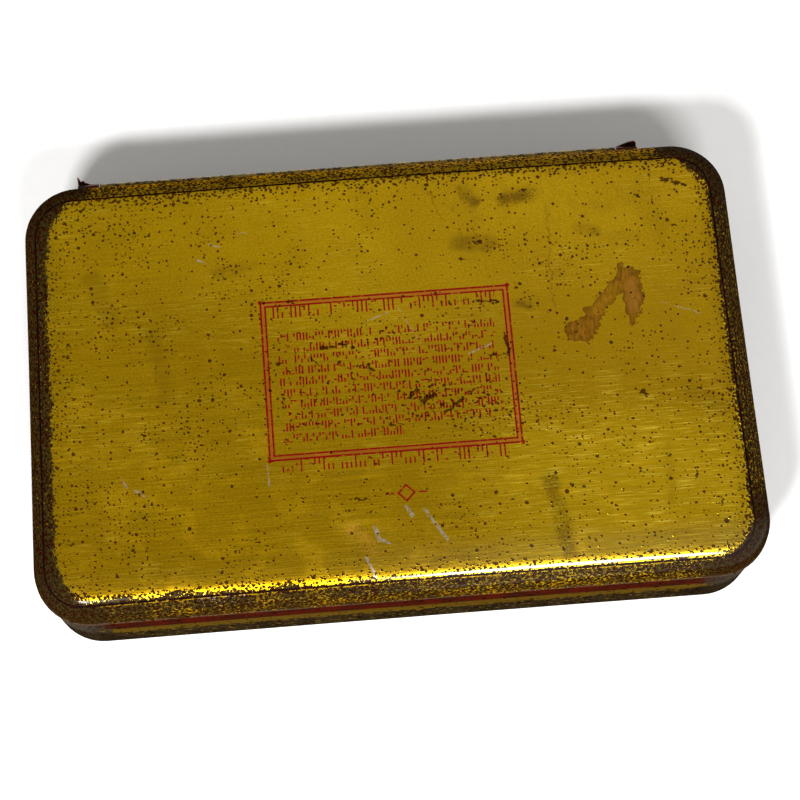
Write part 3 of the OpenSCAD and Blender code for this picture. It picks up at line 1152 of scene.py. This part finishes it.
strip = lid_curl()
strip_print = worn_strip("strip_print", STRIP_GOLDS, 0.46, 0.34)
dress(strip, "lid", ["lid_hinge_barrel"], [strip_print])

ear_print = worn_strip("lug_print", EAR_REDS, 0.47, 0.34)
low, high = box_mm("hinge_lug_left")
lug_left = lug_parts("lug_left", low.x + 0.02, high.x, torn_ear)
dress(lug_left, "body", ["hinge_lug_left"], [ear_print])
low, high = box_mm("hinge_lug_right")
lug_right = lug_parts("lug_right", high.x - 0.02, low.x, bent_ear)
dress(lug_right, "body", ["hinge_lug_right"], [ear_print])

wire = hinge_wire()
wire_steel = worn_strip("wire_steel", WIRE_GREYS, 0.6, 0.32)
dress(wire, "body", ["hinge_wire"], [wire_steel])


# --- Floor, light and camera ---
def studio_floor():
    reach, level = 2500.0, -0.02
    points = [(x * reach, y * reach, level) for x, y in ((-1, -1), (1, -1), (1, 1), (-1, 1))]
    floor = mesh_object("floor", points, [(0, 1, 2, 3)], smooth=False)
    floor.data.materials.append(floor_paper())


def soft_light(name, place, target, width, height, watts):
    """A rectangular soft light, with its place and aim in millimetres."""
    lamp = bpy.data.lights.new(name, "AREA")
    lamp.shape = "RECTANGLE"
    lamp.size = width * MM
    lamp.size_y = height * MM
    lamp.energy = watts
    holder = bpy.data.objects.new(name, lamp)
    bpy.context.scene.collection.objects.link(holder)
    holder.location = Vector(place) * MM
    aim = (Vector(target) - Vector(place)).normalized()
    holder.rotation_euler = aim.to_track_quat("-Z", "Y").to_euler()


def world_light(strength):
    world = bpy.data.worlds.new("studio")
    bpy.context.scene.world = world
    world.use_nodes = True
    background = world.node_tree.nodes["Background"]
    background.inputs["Color"].default_value = WARM_WHITE
    background.inputs["Strength"].default_value = strength


CAMERA_X, CAMERA_Y, CAMERA_ABOVE_LID = -8.4, -112.5, 347.9
CAMERA_TURN = (17.03, -0.22, -4.57)
WARM_WHITE = (1.0, 0.975, 0.92, 1.0)


def camera():
    """The photograph's viewpoint: above the front edge, rolled a few degrees."""
    lens = bpy.data.cameras.new("camera")
    lens.sensor_width = 36.0
    lens.lens = 87.8
    lens.clip_start = 0.01
    lens.clip_end = 20.0
    holder = bpy.data.objects.new("camera", lens)
    bpy.context.scene.collection.objects.link(holder)
    holder.location = Vector((CAMERA_X, CAMERA_Y, TOP + CAMERA_ABOVE_LID)) * MM
    holder.rotation_euler = tuple(math.radians(angle) for angle in CAMERA_TURN)
    bpy.context.scene.camera = holder


studio_floor()
world_light(0.37)
soft_light("key", (-190, -350, 470), (0, 0, 10), 85, 75, 4.0)
soft_light("window", (85, -350, 470), (0, 0, 10), 150, 60, 2.3)
soft_light("ceiling", (120, 330, 640), (0, 0, 0), 420, 260, 0.12)
camera()
bpy.context.scene.view_settings.view_transform = "Standard"
